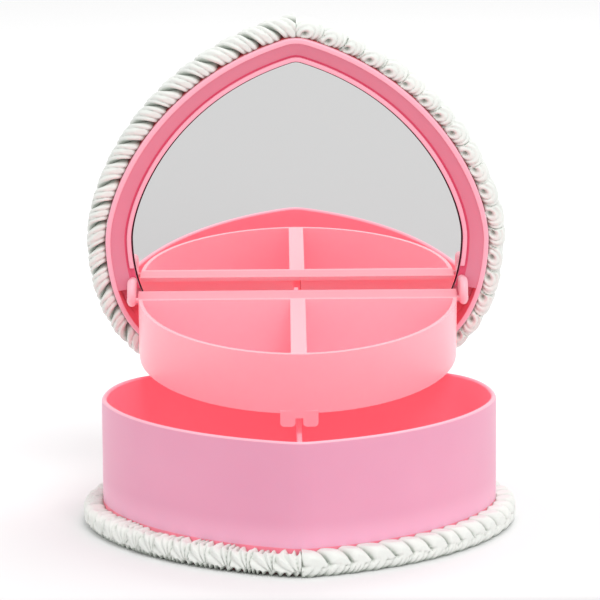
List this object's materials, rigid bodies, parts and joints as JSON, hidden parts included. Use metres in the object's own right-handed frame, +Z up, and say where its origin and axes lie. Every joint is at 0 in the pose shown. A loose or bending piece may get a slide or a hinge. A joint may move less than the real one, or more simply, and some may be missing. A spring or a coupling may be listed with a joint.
{
  "type": "jewellery box",
  "caption": "Heart-shaped cake-style jewellery box: piped cream borders, mirror in the hinged lid, and a divided tray that lifts as the lid opens.",
  "frame": {"origin": "on the table under the middle of the heart's widest line, at the centre plane", "axes": "+Z up from the table, -Y towards the heart's front tip, +Y towards the hinge, +X to the right seen from the front"},
  "size_m": [0.166, 0.1586, 0.1896],
  "materials": {
    "pink_plastic": "satin moulded plastic, slightly translucent",
    "inner_pink_plastic": "satin moulded plastic",
    "frame_pink_plastic": "satin moulded plastic",
    "tray_pink_plastic": "satin moulded plastic",
    "piped_cream": "hardened white piping paste with fine ridges, soft sheen",
    "looking_glass": "polished mirror",
    "adhesive_pad": "white foam tape",
    "steel_pin": "drawn wire"
  },
  "bodies": {
    "base": {"base_shell": "pink_plastic", "base_divider": "inner_pink_plastic", "base_cream_left": "piped_cream", "base_cream_right": "piped_cream", "hinge_pin_left": "steel_pin", "hinge_pin_right": "steel_pin"},
    "lid": {"lid_shell": "pink_plastic", "lid_cream_left": "piped_cream", "lid_cream_right": "piped_cream", "mirror_frame": "frame_pink_plastic", "mirror_adhesive": "adhesive_pad", "mirror": "looking_glass", "tray_arm_left": "frame_pink_plastic", "tray_arm_right": "frame_pink_plastic", "tray_pin_left": "tray_pink_plastic", "tray_pin_right": "tray_pink_plastic"},
    "tray": {"tray": "tray_pink_plastic"}
  },
  "joints": [
    {"name": "lid_hinge", "type": "hinge", "parent": "base", "child": "lid", "pos_m": [0, 0.054, 0.0461], "axis": [1, 0, 0], "range_deg": [0, 81.5]},
    {"name": "tray_pivot", "type": "hinge", "parent": "lid", "child": "tray", "pos_m": [0, 0.04133, 0.0783], "axis": [1, 0, 0], "range_deg": [-91.36, 0]}
  ],
  "couplings": [
    {"joint": "tray_pivot", "follows": "lid_hinge", "ratio": -1.1209}
  ]
}
